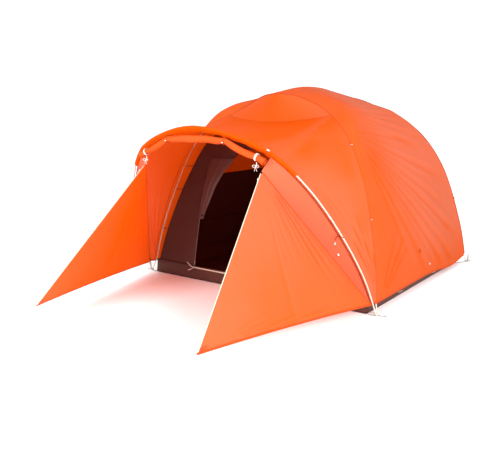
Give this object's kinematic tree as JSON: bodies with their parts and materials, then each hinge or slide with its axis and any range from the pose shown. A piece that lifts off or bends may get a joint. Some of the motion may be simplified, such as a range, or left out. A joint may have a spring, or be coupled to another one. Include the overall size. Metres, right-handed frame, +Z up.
{
  "type": "dome tent",
  "caption": "Pitched dome tent on crossing poles, with a fly sheet, a hooped porch with its door rolled up, two guyed wings and an inner tent.",
  "frame": {"origin": "on the ground, at the middle of the tent floor's underside", "axes": "+Z up, -Y out through the door and porch, +X to the right of someone looking in through the door"},
  "size_m": [2.7206, 4.3116, 1.9069],
  "materials": {
    "fly": "coated woven polyester, satin",
    "inner_cloth": "woven polyester, matte",
    "mesh_cloth": "fine netting, matte",
    "floor_cloth": "coated woven polyester, satin",
    "poles": "satin powder coat over aluminium tube",
    "hub": "moulded",
    "webbing": "woven polyester tape",
    "plastic": "moulded acetal",
    "cord": "braided cord"
  },
  "bodies": {
    "tent": {"brow_pole": "poles", "buckle_front_left": "plastic", "buckle_front_right": "plastic", "buckle_rear_left": "plastic", "buckle_rear_right": "plastic", "corner_strap_front_left": "webbing", "corner_strap_front_right": "webbing", "corner_strap_rear_left": "webbing", "corner_strap_rear_right": "webbing", "door_header": "inner_cloth", "fly_front": "fly", "fly_rear": "fly", "fly_side_left": "fly", "fly_side_right": "fly", "hoop_pole_section_1": "poles", "hoop_pole_section_2": "poles", "hoop_pole_section_3": "poles", "hoop_pole_section_4": "poles", "hoop_pole_section_5": "poles", "inner_front_left": "inner_cloth", "inner_front_right": "inner_cloth", "inner_wall_left": "inner_cloth", "inner_wall_rear": "inner_cloth", "inner_wall_right": "inner_cloth", "main_pole_lower_section_1": "poles", "main_pole_lower_section_2": "poles", "main_pole_lower_section_3": "poles", "main_pole_lower_section_4": "poles", "main_pole_upper_section_1": "poles", "main_pole_upper_section_2": "poles", "main_pole_upper_section_3": "poles", "main_pole_upper_section_4": "poles", "mesh_canopy": "mesh_cloth", "pole_hub": "hub", "pole_sleeve": "fly", "porch_roof": "fly", "porch_side_left": "fly", "porch_side_right": "fly", "roll_tie_1": "webbing", "roll_tie_2": "webbing", "roll_tie_3": "webbing", "roll_tie_4": "webbing", "rolled_door": "fly", "tub_floor": "floor_cloth"},
    "wing_left": {"wing_left": "fly", "guy_cord_left": "cord"},
    "wing_right": {"wing_right": "fly", "guy_cord_right": "cord"},
    "wing_zip_left": {"wing_zip_slider_left": "plastic"},
    "wing_zip_right": {"wing_zip_slider_right": "plastic"},
    "inner_door": {"door_flap": "inner_cloth", "door_tie_back": "webbing"},
    "jamb_zip": {"jamb_zip_slider": "plastic"},
    "sill_zip": {"sill_zip_slider": "plastic"},
    "toggle_left": {"toggle_left": "plastic"},
    "toggle_right": {"toggle_right": "plastic"},
    "buckle_tongue_front_left": {"buckle_tongue_front_left": "plastic"},
    "buckle_tongue_front_right": {"buckle_tongue_front_right": "plastic"},
    "buckle_tongue_rear_left": {"buckle_tongue_rear_left": "plastic"},
    "buckle_tongue_rear_right": {"buckle_tongue_rear_right": "plastic"}
  },
  "joints": [
    {"name": "wing_right_fold", "type": "hinge", "parent": "tent", "child": "wing_right", "pos_m": [1.262, -1.135, 0.1], "axis": [-0.4494, -0.4529, 0.77], "range_deg": [0, 60]},
    {"name": "wing_left_fold", "type": "hinge", "parent": "tent", "child": "wing_left", "pos_m": [-1.262, -1.135, 0.1], "axis": [-0.4494, 0.4529, -0.77], "range_deg": [0, 60]},
    {"name": "wing_right_zip", "type": "slide", "parent": "wing_right", "child": "wing_zip_right", "axis": [0.1504, -0.683, -0.7148], "range_m": [0, 1.3]},
    {"name": "wing_left_zip", "type": "slide", "parent": "wing_left", "child": "wing_zip_left", "axis": [-0.1504, -0.683, -0.7148], "range_m": [0, 1.3]},
    {"name": "inner_door_swing", "type": "hinge", "parent": "tent", "child": "inner_door", "pos_m": [-0.7, -0.98889, 0.6], "axis": [0, -0.2556, -0.9668], "range_deg": [0, 75]},
    {"name": "jamb_zip_slide", "type": "slide", "parent": "tent", "child": "jamb_zip", "axis": [0, 0.1765, 0.9843], "range_m": [0, 0.38]},
    {"name": "sill_zip_slide", "type": "slide", "parent": "tent", "child": "sill_zip", "axis": [1, 0, 0], "range_m": [0, 1.25]},
    {"name": "toggle_left_swing", "type": "hinge", "parent": "tent", "child": "toggle_left", "pos_m": [-0.58429, -1.80227, 1.2727], "axis": [1, 0, 0], "range_deg": [-45, 45]},
    {"name": "toggle_right_swing", "type": "hinge", "parent": "tent", "child": "toggle_right", "pos_m": [0.58429, -1.80227, 1.2727], "axis": [1, 0, 0], "range_deg": [-45, 45]},
    {"name": "buckle_front_left_release", "type": "slide", "parent": "tent", "child": "buckle_tongue_front_left", "axis": [0, 0, 1], "range_m": [0, 0.025]},
    {"name": "buckle_front_right_release", "type": "slide", "parent": "tent", "child": "buckle_tongue_front_right", "axis": [0, 0, 1], "range_m": [0, 0.025]},
    {"name": "buckle_rear_left_release", "type": "slide", "parent": "tent", "child": "buckle_tongue_rear_left", "axis": [0, 0, 1], "range_m": [0, 0.025]},
    {"name": "buckle_rear_right_release", "type": "slide", "parent": "tent", "child": "buckle_tongue_rear_right", "axis": [0, 0, 1], "range_m": [0, 0.025]}
  ]
}
